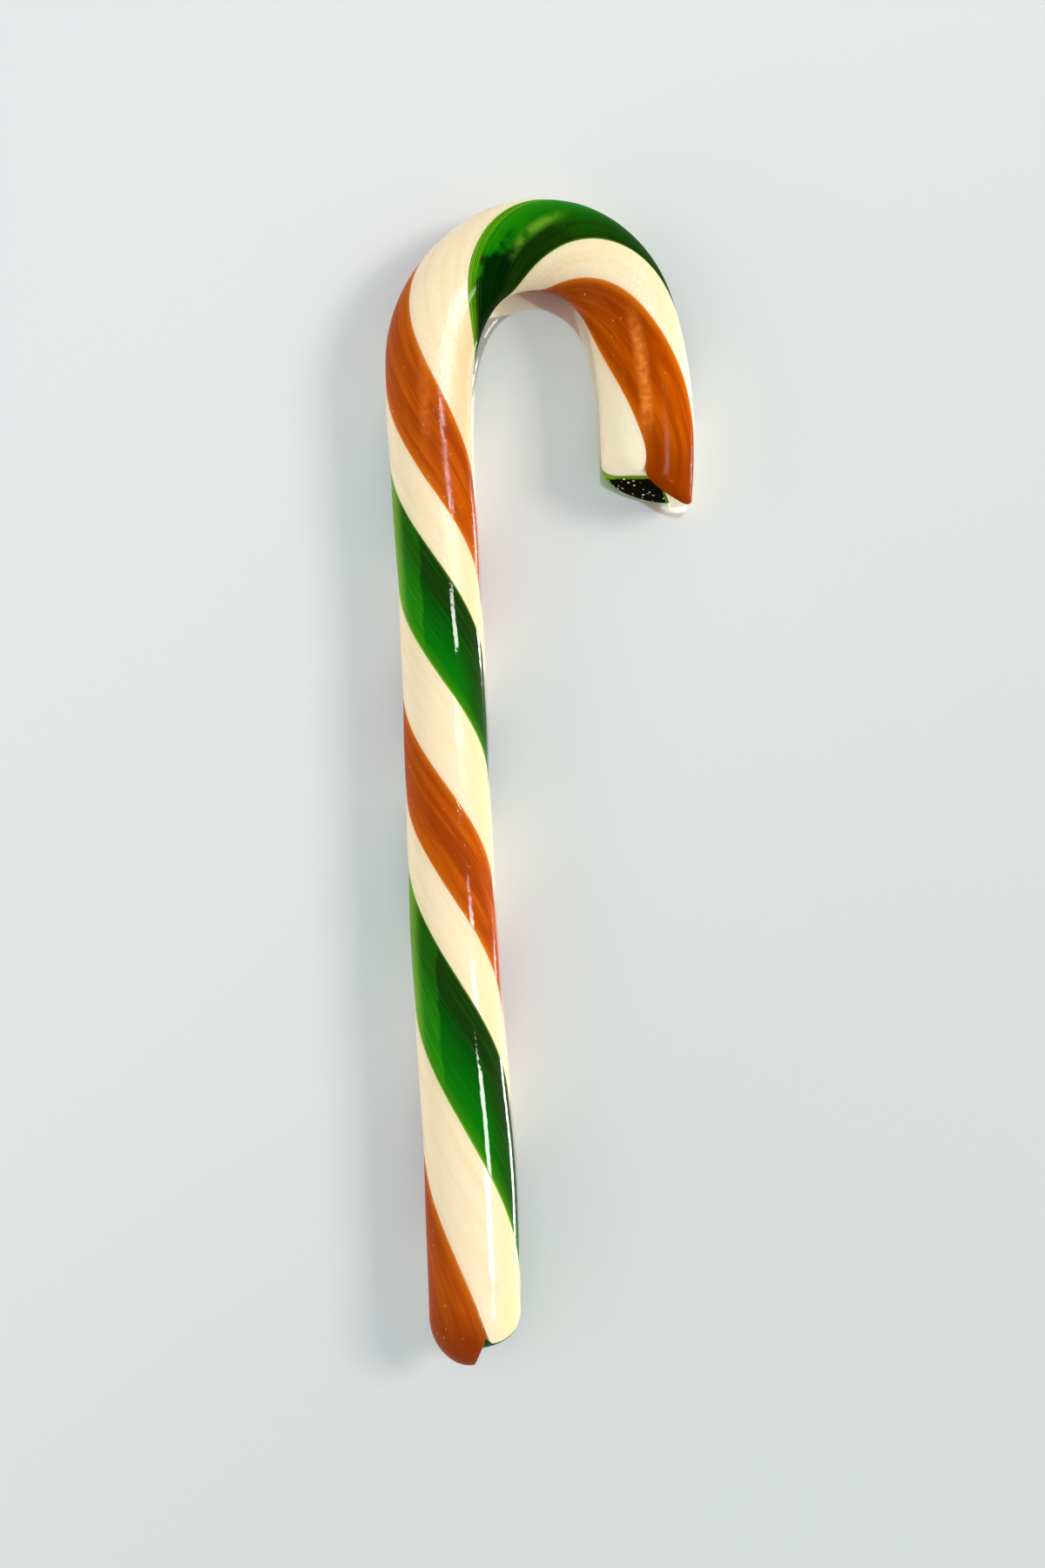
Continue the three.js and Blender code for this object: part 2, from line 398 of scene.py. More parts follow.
def section_face(piece, plan):
    """Spins the strand's outer arc, closes it at the axis and rounds its two outer corners."""
    steps = max(LEAST_ARC_STEPS, int(round(2 * plan.sweep / plan.sizes.arc_step)))
    foot = Vector((plan.body_span()[0], 0, 0))
    centre = foot + plan.arc_centre
    near = centre + on_bar(plan.middle - plan.sweep, plan.radius)
    far = centre + on_bar(plan.middle + plan.sweep, plan.radius)
    corner = foot + plan.corner
    edit(piece)
    pick_all()
    bpy.ops.mesh.merge(type="CENTER")
    move(near)
    bpy.ops.mesh.spin(steps=steps, angle=-2 * plan.sweep, center=centre, axis=(1, 0, 0))
    pick(piece, "VERT", lambda v: (v.co - far).length < TOUCHING * MM)
    bpy.ops.mesh.extrude_vertices_move(TRANSFORM_OT_translate={"value": tuple(corner - far)})
    pick_all()
    bpy.ops.mesh.edge_face_add()
    pick(piece, "VERT", lambda v: min((v.co - far).length, (v.co - near).length) < TOUCHING * MM)
    bpy.ops.mesh.bevel(
        offset=plan.sizes.rim_rounding, segments=CORNER_SEGMENTS, affect="VERTICES")


def bar_body(piece, plan):
    """Draws the section out along the bar and divides its long edges into rings."""
    x0, x1 = plan.body_span()
    bpy.ops.mesh.select_mode(type="FACE")
    pick_all()
    draw_out(x1 - x0)
    divide_long_edges(piece, plan, x0, x1)


def divide_long_edges(piece, plan, x0, x1):
    """Divides the edges that run from x0 to x1, in two passes where one can't make enough cuts."""
    wanted = max(2, int(round((x1 - x0) / plan.sizes.ring_step)))
    coarse = -(-wanted // MOST_PARTS)
    middle = (x0 + x1) / 2

    def crosses_middle(e):
        return min(v.co.x for v in e.verts) < middle < max(v.co.x for v in e.verts)

    def still_long(e):
        begin, end = sorted(v.co.x for v in e.verts)
        return end - begin > (x1 - x0) / coarse / 2 and begin > x0 - plan.sizes.ring_step / 2

    pick(piece, "EDGE", crosses_middle)
    if coarse > 1:
        bpy.ops.mesh.subdivide(number_cuts=coarse - 1)
        pick(piece, "EDGE", still_long)
    bpy.ops.mesh.subdivide(number_cuts=wanted // coarse - 1)


def pick_cap(piece, x, plan=None):
    """Selects the flat face that closes the bar at x, square or on the slant of the snip."""
    def on_cut(v):
        lead = plan.slant(v.co) if plan else 0
        return abs(v.co.x - lead - x) < TOUCHING * MM

    pick(piece, "FACE", lambda f: len(f.verts) > LEAST_ARC_STEPS and all(map(on_cut, f.verts)))


def round_off(plan, end, root, direction):
    """Draws a cap out in rings that shrink round the closing point, and closes the tip."""
    spec = plan.spec[end]
    rings = plan.sizes.dome_rings
    closing = plan.closing_point(end)
    lead = plan.slant(closing) if end == "hook" else 0
    full = 1.0
    reached = 0.0
    for index in range(1, rings + 1):
        share = dome_share(rings, index)
        wanted = float(fullness(share, spec["power"])) if index < rings else full * TIP_SHRINK
        draw_out(direction * (share - reached) * spec["round"] * MM)
        place = root + direction * share * spec["round"] * MM
        size = wanted / full
        bpy.ops.transform.resize(
            value=(size, size, size), center_override=(place + lead, closing.y, closing.z))
        full = wanted
        reached = share
    bpy.ops.mesh.poke()


def hook_stretch(piece, plan):
    """Draws the bar on to the slanted cut of the hook's end, with its inner corner pinched."""
    x1 = plan.body_span()[1]
    root = plan.hook_root()
    pick_cap(piece, x1)
    draw_out(root - x1 + TRIM_MARGIN * MM)
    pick_all()
    bpy.ops.mesh.bisect(
        plane_co=(root, 0, 0), plane_no=(1, -plan.slope_y, -plan.slope_z),
        use_fill=True, clear_outer=True)
    tip = plan.corner + Vector((root + plan.slant(plan.corner), 0, 0))
    pick(piece, "VERT", lambda v: (v.co - tip).length < TOUCHING * MM)
    swell = profile_at(RADIUS, plan.sizes.stick_length / MM) / BAR_RADIUS
    pinch = plan.pinch / float(swell)
    move(pinch + Vector((plan.slant(pinch), 0, 0)))
    divide_long_edges(piece, plan, x1, root)


def snap_foot(piece, plan):
    """Cuts the flat across the foot where the strand was snapped off, and softens its edge."""
    out = on_bar(math.pi / 2 - math.radians(TWIST_START), 1.0)
    flat = Vector((-1, 0, 0)) + out * SNAP_LEAN
    flat.normalize()
    place = Vector((SNAP_START * MM, 0, 0))
    pick_all()
    bpy.ops.mesh.bisect(plane_co=place, plane_no=flat, use_fill=True, clear_outer=True)

    def on_flat(v):
        return abs((v.co - place).dot(flat)) < TOUCHING * MM

    pick(piece, "EDGE", lambda e: all(map(on_flat, e.verts)))
    bpy.ops.mesh.bevel(offset=SNAP_ROUNDING * MM, segments=CORNER_SEGMENTS)


def note_places(piece, plan):
    """Writes where each point lies on its strand, while the bar is still straight."""
    mesh = piece.data
    count = len(mesh.vertices)
    co = np.empty(count * 3)
    mesh.vertices.foreach_get("co", co)
    co = co.reshape(-1, 3)
    distance, _, _, heading, twist = centre_line(plan.sizes.stick_length / MM)
    along = co[:, 0] / MM
    reach = np.hypot(co[:, 1], co[:, 2]) / MM
    angle = np.arctan2(-co[:, 1], co[:, 2])
    turn = (angle - plan.middle + math.pi) % (2 * math.pi) - math.pi
    across = turn * BAR_RADIUS
    rim = plan.half * BAR_RADIUS - np.abs(across)
    depth = np.maximum(BAR_RADIUS - reach, 0)
    around = plan.middle + turn + np.interp(along, distance, twist)
    aim = np.interp(along, distance, heading)
    facing = np.stack([
        np.sin(around) * np.cos(aim), -np.sin(around) * np.sin(aim), np.cos(around)], axis=1)
    # How far in from the outline of its own rounded end a point lies.
    inset = np.zeros(count)
    for end in ("foot", "hook"):
        spec = plan.spec[end]
        closing = plan.closing_point(end)
        if end == "foot":
            past = (plan.body_span()[0] - co[:, 0]) / (spec["round"] * MM)
        else:
            lead = plan.slope_y * co[:, 1] + plan.slope_z * co[:, 2]
            past = (co[:, 0] - lead - plan.hook_root()) / (spec["round"] * MM)
        full = np.maximum(fullness(past, spec["power"]), LEAST_FULL)
        off = np.hypot(co[:, 1] - closing.y, co[:, 2] - closing.z) / MM
        inset = np.maximum(inset, np.where(past > 0, off * (1 / full - 1), 0))
    bleed = np.exp(-np.maximum(rim, 0) / BLEED_REACH)
    side = np.where(across < 0, plan.spec["beside"][0], plan.spec["beside"][1])
    write_vector(mesh, "strand", np.stack([across, along, depth], axis=1))
    write_vector(mesh, "facing", facing)
    write_vector(mesh, "edge", np.stack([rim, inset, bleed * side], axis=1))


def write_vector(mesh, name, values):
    attribute = mesh.attributes.new(name, "FLOAT_VECTOR", "POINT")
    attribute.data.foreach_set("vector", values.astype(np.float32).ravel())


def make_guide(sizes):
    """The curve that bends, twists and swells the straight bars."""
    distance, x, y, _, twist = centre_line(sizes.stick_length / MM)
    swell = profile_at(RADIUS, distance) / BAR_RADIUS
    curve = bpy.data.curves.new("guide", "CURVE")
    curve.dimensions = "3D"
    curve.twist_mode = "Z_UP"
    curve.use_radius = True
    curve.use_stretch = False
    curve.use_deform_bounds = False
    spline = curve.splines.new("POLY")
    kept = range(0, len(distance), GUIDE_EVERY)
    spline.points.add(len(kept) - 1)
    for point, i in zip(spline.points, kept):
        point.co = (x[i] * MM, y[i] * MM, sizes.axis_height, 1)
        point.tilt = twist[i]
        point.radius = swell[i]
    return new_object("guide", curve)


def bend_along(piece, guide):
    bend = piece.modifiers.new("Bend", "CURVE")
    bend.object = guide
    bend.deform_axis = "POS_X"
    apply_modifier(piece, "Bend")


def add_lumps(piece, sizes):
    """The gentle lumps that hands leave in warm sugar."""
    lumps = bpy.data.textures.get("sugar lumps")
    if lumps is None:
        lumps = bpy.data.textures.new("sugar lumps", "CLOUDS")
        lumps.noise_scale = sizes.lump_size
        lumps.noise_depth = 1
    relief = piece.modifiers.new("Lumps", "DISPLACE")
    relief.texture = lumps
    relief.texture_coords = "LOCAL"
    relief.mid_level = 0.5
    relief.strength = sizes.lump_height
    apply_modifier(piece, "Lumps")


def settle_flat(piece):
    """Whatever reaches below the table top is pressed flat onto it."""
    edit(piece)
    work = bmesh.from_edit_mesh(piece.data)
    if min(v.co.z for v in work.verts) < 0:
        pick(piece, "VERT", lambda v: v.co.z < 0)
        bpy.ops.transform.resize(value=(1, 1, 0), center_override=(0, 0, 0))
    start_fresh()


class CANE_OT_strand(bpy.types.Operator):
    """Model one strand of sugar: a wedge-shaped bar, rounded at both ends, twisted and bent"""
    bl_idname = "cane.strand"
    bl_label = "Add strand"
    bl_options = {"REGISTER", "UNDO"}

    piece: EnumProperty(name="Strand", items=[(name, name, "") for name in STRANDS])

    def execute(self, context):
        sizes = context.scene.cane_sizes
        plan = StrandPlan(self.piece, sizes)
        start_fresh()
        bpy.ops.mesh.primitive_plane_add(size=1 * MM)
        piece = context.object
        piece.name = "sugar_" + self.piece
        piece.data.name = piece.name
        section_face(piece, plan)
        bar_body(piece, plan)
        pick_cap(piece, plan.body_span()[0])
        round_off(plan, "foot", plan.body_span()[0], -1)
        if self.piece == SNAP_STRAND:
            snap_foot(piece, plan)
        hook_stretch(piece, plan)
        pick_cap(piece, plan.hook_root(), plan)
        round_off(plan, "hook", plan.hook_root(), 1)
        pick_all()
        bpy.ops.mesh.normals_make_consistent(inside=False)
        start_fresh()
        note_places(piece, plan)
        guide = make_guide(sizes)
        bend_along(piece, guide)
        bpy.data.objects.remove(guide)
        add_lumps(piece, sizes)
        return {"FINISHED"}


class CANE_OT_settle(bpy.types.Operator):
    """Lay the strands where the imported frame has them, with their undersides settled flat"""
    bl_idname = "cane.settle"
    bl_label = "Settle on the table"
    bl_options = {"REGISTER", "UNDO"}

    def execute(self, context):
        strands = [bpy.data.objects["sugar_" + name] for name in STRANDS]
        corners = [v.co for piece in strands for v in piece.data.vertices]
        low = Vector([min(c[i] for c in corners) for i in range(3)])
        high = Vector([max(c[i] for c in corners) for i in range(3)])
        wanted = (Vector(CAD_BOX[0]) + Vector(CAD_BOX[1])) / 2
        shift = wanted - (low + high) / 2
        shift.z = 0
        for name, piece in zip(STRANDS, strands):
            edit(piece)
            pick_all()
            move(shift)
            settle_flat(piece)
            choose(piece)
            bpy.ops.object.shade_smooth_by_angle(angle=math.radians(SMOOTH_ANGLE))
            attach(piece, "root")
            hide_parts(name)
        start_fresh()
        return {"FINISHED"}


# ---- Finishes ----

# Stretches of the stick where the sugar's look changes: from and to, in mm from the foot.
# Where there are two, the look comes in over the first and goes again over the second.
FROSTING = (78, 122)  # smooth by the foot, frosted by handling beyond
CARAMEL_FOOT = (1.5, 15)  # darker up to here
CARAMEL_NECK_HIGHLIGHT = ((136, 144), (156, 168))  # faint painted highlight on top, the soft reflection of a light overhead
CARAMEL_FOLDS = ((178, 186), (198, 210))  # dark folds inside the bend
CARAMEL_DULL = (192, 204)  # its gloss goes
CARAMEL_LEG_HIGHLIGHT = ((198, 206), (215, 221))  # strong painted highlight on top, the soft reflection of a light overhead
CARAMEL_TIP = (215, 225)  # darker from here
CREAM_GLITTER = (100, 130)  # its grains begin to glint
CREAM_SHEEN = (108, 140)  # its dull sheen tightens
CREAM_LEG = (198, 214)  # paler from here
GREEN_FOOT = (3, 9)  # in shade up to here
GREEN_CROWN = (150, 160)  # the bend takes over how the light falls
GREEN_SWEEP = (168, 187)  # the light's limit crosses the strand
GREEN_SHEEN_PATCH = ((174.5, 178.5), (181, 185))  # painted sheen on top, the soft reflection of a light overhead
GREEN_DEEP = (176, 190)  # the shade inside the bend thins out
GREEN_FADE = (182, 190)  # the light outside the bend fades
GREEN_SNIP = (200, 205)  # only from here does the end look cut

FINE_GRAIN = 1900.0       # cells of the finest surface grain in a metre
RIPPLE_STRENGTH = 0.5     # how much of the ripples' depth is seen
NOISE_SPAN = (0.3, 0.7)   # most of a noise's values lie between these


def linear(colour):
    """A colour as it looks on a screen, turned into the linear values that shaders use."""
    return tuple(c / 12.92 if c <= 0.04045 else ((c + 0.055) / 1.055) ** 2.4 for c in colour) + (1,)


class Finish:
    """A material whose nodes are added one at a time and laid out left to right."""

    def __init__(self, name):
        self.material = bpy.data.materials.new(name)
        self.material.use_nodes = True
        self.tree = self.material.node_tree
        self.shader = self.tree.nodes["Principled BSDF"]
        self.tree.nodes["Material Output"].location = (400, 0)
        self.count = 0
        self.place = self.add("ShaderNodeTexCoord").outputs["Object"]

    def add(self, kind, inputs=(), **settings):
        node = self.tree.nodes.new(kind)
        node.location = (-200 * (1 + self.count // 4), -220 * (self.count % 4))
        self.count += 1
        for key, value in settings.items():
            setattr(node, key, value)
        for key, value in dict(inputs).items():
            self.feed(node.inputs[key], value)
        return node

    def feed(self, socket, value):
        if isinstance(value, bpy.types.NodeSocket):
            self.tree.links.new(value, socket)
        else:
            socket.default_value = value

    def set(self, **values):
        for key, value in values.items():
            self.feed(self.shader.inputs[key.replace("_", " ")], value)

    def calc(self, operation, a, b=0.0):
        return self.add("ShaderNodeMath", {0: a, 1: b}, operation=operation).outputs[0]

    def times(self, a, b):
        return self.calc("MULTIPLY", a, b)

    def ramp(self, value, low, high, start=0.0, stop=1.0, smooth=True):
        """Maps a value from low..high to start..stop and keeps it there."""
        kind = "SMOOTHSTEP" if smooth else "LINEAR"
        return self.add("ShaderNodeMapRange", {
            "Value": value, "From Min": low, "From Max": high,
            "To Min": start, "To Max": stop}, interpolation_type=kind).outputs["Result"]

    def either_way(self, noise, most):
        """Turns a noise into a shift of up to this much either way."""
        return self.ramp(noise, *NOISE_SPAN, -most, most)

    def split(self, vector):
        """The three parts of a vector or colour."""
        return tuple(self.add("ShaderNodeSeparateXYZ", {0: vector}).outputs)

    def noise(self, where, scale, detail=2.0, roughness=0.5, distortion=0.0):
        return self.add("ShaderNodeTexNoise", {
            "Vector": where, "Scale": scale, "Detail": detail, "Roughness": roughness,
            "Distortion": distortion}).outputs["Fac"]

    def blend(self, share, a, b):
        """A mix of two colours: all of b where the share is 1."""
        return self.add("ShaderNodeMix", {0: share, 6: a, 7: b}, data_type="RGBA").outputs[2]

    def bump(self, height, distance, strength=1.0, normal=(0, 0, 0)):
        return self.add("ShaderNodeBump", {
            "Height": height, "Distance": distance, "Strength": strength,
            "Normal": normal}).outputs[0]


class SugarFinish(Finish):
    """A strand's material: it knows where each point lies, in mm, and which way it faces, and
    lays one tint over another."""

    def __init__(self, name, base):
        super().__init__(name)
        self.across, self.along, self.depth = self.attribute("strand")
        self.rim, self.inset, self.bleed = self.attribute("edge")
        self.facing_x, self.facing_y, _ = self.attribute("facing")
        self.body = linear(base)

    def attribute(self, name):
        return self.split(self.add("ShaderNodeAttribute", attribute_name=name).outputs["Vector"])

    def tint(self, share, colour):
        self.body = self.blend(share, self.body, linear(colour))

    def spell(self, comes, goes, most=1.0):
        """A share that comes in over one stretch of the strand and goes over a later one."""
        return self.times(
            self.ramp(self.along, *comes), self.ramp(self.along, *goes, most, 0.0))

    def grain(self, wide, long, detail=2.0, roughness=0.5, distortion=0.0):
        """Noise drawn out along the strand: its cells in a mm across the strand, and along it."""
        where = self.add("ShaderNodeCombineXYZ", {
            "X": self.times(self.across, wide), "Y": self.times(self.along, long),
            "Z": self.times(self.depth, wide)}).outputs[0]
        return self.noise(where, 1.0, detail, roughness, distortion)

    def crumbs(self, scale, share, reach=0.22):
        """Sparse tiny bumps: a height that stands up at the middle of some cells only."""
        cells = self.add("ShaderNodeTexVoronoi", {"Vector": self.place, "Scale": scale})
        uneven = self.either_way(self.noise(self.place, scale * 1.7), 0.12)
        ragged = self.calc("ADD", cells.outputs["Distance"], uneven)
        peak = self.ramp(ragged, 0.03, reach, 1.0, 0.0)
        chance = self.split(cells.outputs["Color"])[0]
        return self.times(peak, self.calc("LESS_THAN", chance, share))

    def relief(self, wide, long, ripple, grain, smooth, frosted):
        """Ripples drawn out along the strand (cells across and along, depth in mm) under a fine
        grain (depth in mm), of which a share shows where it's smooth and where it's frosted."""
        normal = self.bump(self.grain(wide, long), ripple * MM, RIPPLE_STRENGTH)
        fine = self.noise(self.place, FINE_GRAIN, 2.0, 0.6)
        return self.bump(
            fine, grain * MM, self.ramp(self.along, *FROSTING, smooth, frosted), normal)


def caramel_finish(colours):
    finish = SugarFinish("caramel sugar", colours.caramel_dark)
    across, along, rim, facing_x = finish.across, finish.along, finish.rim, finish.facing_x
    clouds = finish.grain(0.30, 0.07, 3.0, 0.5, 0.4)
    finish.tint(finish.ramp(clouds, 0.30, 0.72), colours.caramel)
    bands = finish.grain(0.85, 0.035, distortion=0.3)
    finish.tint(finish.ramp(bands, 0.46, 0.60, 0.0, 0.85), colours.caramel_dark)
    threads = finish.grain(2.6, 0.10, roughness=0.55)
    finish.tint(finish.ramp(threads, 0.52, 0.74, 0.0, 0.24), colours.caramel_pale)
    finish.tint(finish.ramp(threads, 0.30, 0.48, 0.14, 0.0), colours.caramel_end)
    # Dark folds where the bend has squeezed the strand, deepened on its inner side by painted shade.
    folds = finish.grain(0.65, 0.05, distortion=0.5)
    folds_in_shade = finish.times(finish.ramp(across, -3.6, -1.4, 1.3, 0.0),
                          finish.ramp(folds, 0.38, 0.56, 0.35, 1.0))
    dark = finish.calc("MAXIMUM", folds_in_shade, finish.ramp(folds, 0.47, 0.58))
    finish.tint(finish.times(dark, finish.spell(*CARAMEL_FOLDS, most=0.7)), colours.caramel_end)
    # Painted light and shade by which way the surface faces: paler where light gathers in the caramel,
    # darker at the far side; thin and pale at its edges.
    finish.tint(finish.ramp(facing_x, -0.46, -0.40, 0.12, 0.0), colours.caramel_pale)
    finish.tint(finish.ramp(facing_x, -0.97, -0.55, 0.55, 0.0), colours.caramel_dark)
    finish.tint(finish.ramp(rim, 0.0, 1.9, 0.75, 0.0), colours.caramel_pale)
    finish.tint(finish.ramp(rim, 0.02, 0.30, 0.8, 0.0), colours.caramel_rim)
    # A painted highlight, the soft reflection of a light overhead, follows the top of the stick.
    off_top = finish.calc("ABSOLUTE", finish.calc("ADD", facing_x, 0.06))
    mottle = finish.noise(finish.place, 850.0, 2.0, 0.6, 0.2)
    painted_highlight = finish.times(finish.ramp(off_top, 0.02, 0.20, 1.0, 0.0),
                         finish.ramp(mottle, 0.32, 0.68, 0.35, 0.9))
    shown = finish.calc("MAXIMUM", finish.spell(*CARAMEL_LEG_HIGHLIGHT), finish.spell(*CARAMEL_NECK_HIGHLIGHT, most=0.4))
    finish.tint(finish.times(painted_highlight, shown), colours.caramel_highlight)
    finish.tint(finish.ramp(along, *CARAMEL_TIP, 0.0, 0.85), colours.caramel_end)
    finish.tint(finish.ramp(along, *CARAMEL_FOOT, 0.85, 0.0), colours.caramel_end)
    # Painted glints: pale specks where the caramel sparkles.
    painted_sparkles = finish.crumbs(800.0, 0.4, 0.12)
    finish.tint(finish.ramp(painted_sparkles, 0.1, 0.6, 0.0, 0.55), colours.caramel_rim)
    normal = finish.relief(
        wide=1.1, long=0.30, ripple=0.06, grain=0.05, smooth=0.15, frosted=0.9)
    normal = finish.bump(finish.crumbs(750.0, 0.22), 0.05 * MM, 0.7, normal)
    gloss = finish.ramp(along, *CARAMEL_DULL, 0.38, 0.05)
    finish.set(Base_Color=finish.body, Roughness=0.6, Normal=normal, Specular_IOR_Level=0.0)
    finish.set(Coat_Weight=gloss, Coat_IOR=1.3, Coat_Roughness=0.06, Coat_Normal=normal)
    finish.set(Subsurface_Weight=0.10, Subsurface_Radius=(1.0, 0.35, 0.05),
               Subsurface_Scale=0.7 * MM)
    return finish.material


def cream_finish(colours):
    finish = SugarFinish("cream sugar", colours.cream)
    along, bleed = finish.along, finish.bleed
    clouds = finish.grain(0.6, 0.05)
    finish.tint(finish.ramp(clouds, 0.42, 0.72, 0.0, 0.5), colours.cream_warm)
    # Painted shading: warmer on the side that faces +x.
    finish.tint(finish.ramp(finish.facing_x, 0.35, 0.85), colours.cream_warm)
    finish.tint(finish.ramp(along, *CREAM_LEG, 0.0, 0.85), colours.cream_pale)
    # The neighbours show through at its edges: caramel above nought, green below.
    finish.tint(finish.times(finish.calc("MAXIMUM", bleed, 0.0), 0.6), colours.cream_rose)
    finish.tint(finish.times(finish.calc("MINIMUM", bleed, 0.0), -0.7), colours.cream_leaf)
    normal = finish.relief(
        wide=0.9, long=0.25, ripple=0.06, grain=0.13, smooth=0.08, frosted=1.0)
    glitter = finish.noise(finish.place, 2600.0, 1.0)
    glitter = finish.bump(glitter, 0.12 * MM, finish.ramp(along, *CREAM_GLITTER), normal)
    roughness = finish.ramp(along, *CREAM_SHEEN, 0.7, 0.27)
    finish.set(Base_Color=finish.body, Roughness=roughness, Normal=normal,
               Specular_IOR_Level=0.2)
    finish.set(Coat_Weight=0.45, Coat_IOR=1.35, Coat_Roughness=0.05, Coat_Normal=glitter)
    finish.set(Subsurface_Weight=0.25, Subsurface_Radius=(1.0, 0.8, 0.5),
               Subsurface_Scale=0.9 * MM)
    return finish.material


def green_light(finish, wander, blotch, crown):
    """Where light gathers in the clear green, and where the bend leaves it in shade."""
    # On the shaft it is the side that faces up and to the left, as far as a clear line.
    away = finish.calc("SUBTRACT", finish.times(finish.facing_x, 0.78),
                       finish.times(finish.facing_y, 0.9))
    away = finish.calc("ADD", away, finish.either_way(wander, 0.02))
    shaft = finish.ramp(away, -0.33, -0.28, 1.0, 0.0)
    # Round the crown it is the outer side, of which more shows further up.
    sway = finish.calc("ADD", finish.across, finish.either_way(wander, 0.9))
    sway = finish.calc("ADD", sway, finish.either_way(blotch, 1.3))
    limit = finish.ramp(finish.along, *GREEN_SWEEP, -6.0, 5.6, smooth=False)
    past = finish.calc("SUBTRACT", sway, limit)
    outer = finish.times(finish.ramp(past, -2.4, 0.6, 0.62, 0.0),
                         finish.ramp(finish.along, *GREEN_FADE, 1.0, 0.3))
    light = finish.add("ShaderNodeMix", {0: crown, 2: shaft, 3: outer}).outputs[0]
    shade = finish.times(crown, finish.ramp(past, -0.8, 1.0))
    shade = finish.times(shade, finish.ramp(finish.along, *GREEN_DEEP, 0.94, 0.4))
    return light, shade


def green_finish(colours):
    finish = SugarFinish("clear green sugar", colours.green_dark)
    across, along, rim, facing_x = finish.across, finish.along, finish.rim, finish.facing_x
    wander = finish.grain(0.4, 0.05)
    patches = finish.grain(1.6, 0.14, 3.0, 0.6)
    blotch = finish.noise(finish.place, 300.0, 4.0, 0.6, 0.3)
    crown = finish.ramp(along, *GREEN_CROWN)
    light, shade = green_light(finish, wander, blotch, crown)
    finish.tint(finish.ramp(across, -5.5, 3.5, 0.9, 0.0), colours.green_mid)
    # Painted shade: darker on the side that faces +x.
    finish.tint(finish.ramp(facing_x, 0.35, 0.85, 0.0, 0.75), colours.green_band_and_shade)
    finish.tint(shade, colours.green_shade)
    band = finish.times(finish.ramp(across, 1.2, 2.8),
                        finish.ramp(patches, 0.36, 0.66, 0.95, 0.40))
    finish.tint(band, colours.green_band_and_shade)
    light = finish.times(light, finish.ramp(across, -5.0, 4.0, 1.0, 0.35))
    light = finish.times(light, finish.ramp(patches, 0.34, 0.62, 0.55, 1.0))
    finish.tint(light, colours.green)
    finish.tint(finish.ramp(along, *GREEN_FOOT, 0.75, 0.0), colours.green_shade)
    finish.tint(finish.ramp(across, -6.4, -4.2, 0.55, 0.0), colours.green_olive)
    # Painted light: lime down the flank that faces -x.
    finish.tint(finish.ramp(facing_x, -0.97, -0.72, 0.7, 0.0), colours.green_rim_and_light)
    # Fine threads, fainter on the crown, where bright lines run by its outer edge instead.
    threads = finish.grain(3.2, 0.05, 3.0, 0.6)
    shown = finish.ramp(crown, 0.0, 1.0, 1.0, 0.3)
    bright = finish.ramp(threads, 0.52, 0.74, 0.0, 0.30)
    finish.tint(finish.times(bright, shown), colours.green)
    dark = finish.ramp(threads, 0.30, 0.48, 0.25, 0.0)
    finish.tint(finish.times(dark, shown), colours.green_shade)
    lines = finish.grain(3.4, 0.012, roughness=0.6)
    lines = finish.times(finish.ramp(lines, 0.50, 0.58),
                         finish.ramp(across, -6.2, -3.4, 0.9, 0.0))
    finish.tint(finish.times(lines, crown), colours.green_rim_and_light)
    # A painted sheen on top of the crown: the soft reflection of a light overhead.
    off_sheen = finish.calc("ABSOLUTE", finish.calc("SUBTRACT", across, 0.7))
    painted_sheen = finish.times(finish.spell(*GREEN_SHEEN_PATCH), finish.ramp(off_sheen, 0.0, 1.7, 1.0, 0.0))
    painted_sheen = finish.times(painted_sheen, finish.ramp(blotch, 0.36, 0.56, 0.1, 0.75))
    finish.tint(painted_sheen, colours.green_sheen)
    thin = finish.times(finish.ramp(rim, 0.05, 0.45, 0.85, 0.0),
                        finish.ramp(across, -1.0, 1.0, 1.0, 0.35))
    finish.tint(thin, colours.green_rim_and_light)
    # The snipped face at the hook's end is dark, wet and beaded, with painted glints on the beads,
    # inside a bright lip.
    snipped = finish.times(finish.inset, finish.ramp(along, *GREEN_SNIP))
    ragged = finish.calc("ADD", snipped, finish.either_way(patches, 0.2))
    inside = finish.ramp(ragged, 0.5, 1.1)
    finish.tint(finish.ramp(snipped, 0.03, 0.2, 0.0, 0.7), colours.green_rim_and_light)
    finish.tint(inside, colours.green_cut)
    beads_and_glints = finish.times(finish.crumbs(1300.0, 0.42, 0.40), finish.ramp(snipped, 0.3, 0.9))
    # Painted glints: white spots on the beads.
    finish.tint(finish.ramp(beads_and_glints, 0.2, 0.7), colours.green_glint)
    normal = finish.relief(
        wide=0.8, long=0.25, ripple=0.04, grain=0.012, smooth=0.10, frosted=0.6)
    normal = finish.bump(beads_and_glints, 0.1 * MM, 1.0, normal)
    gloss = finish.times(finish.ramp(inside, 0.0, 1.0, 0.38, 0.04, smooth=False),
                         finish.ramp(crown, 0.0, 1.0, 1.0, 0.35))
    finish.set(Base_Color=finish.body, Roughness=0.6, Normal=normal, Specular_IOR_Level=0.0)
    finish.set(Coat_Weight=gloss, Coat_IOR=1.3, Coat_Roughness=0.04, Coat_Normal=normal)
    return finish.material


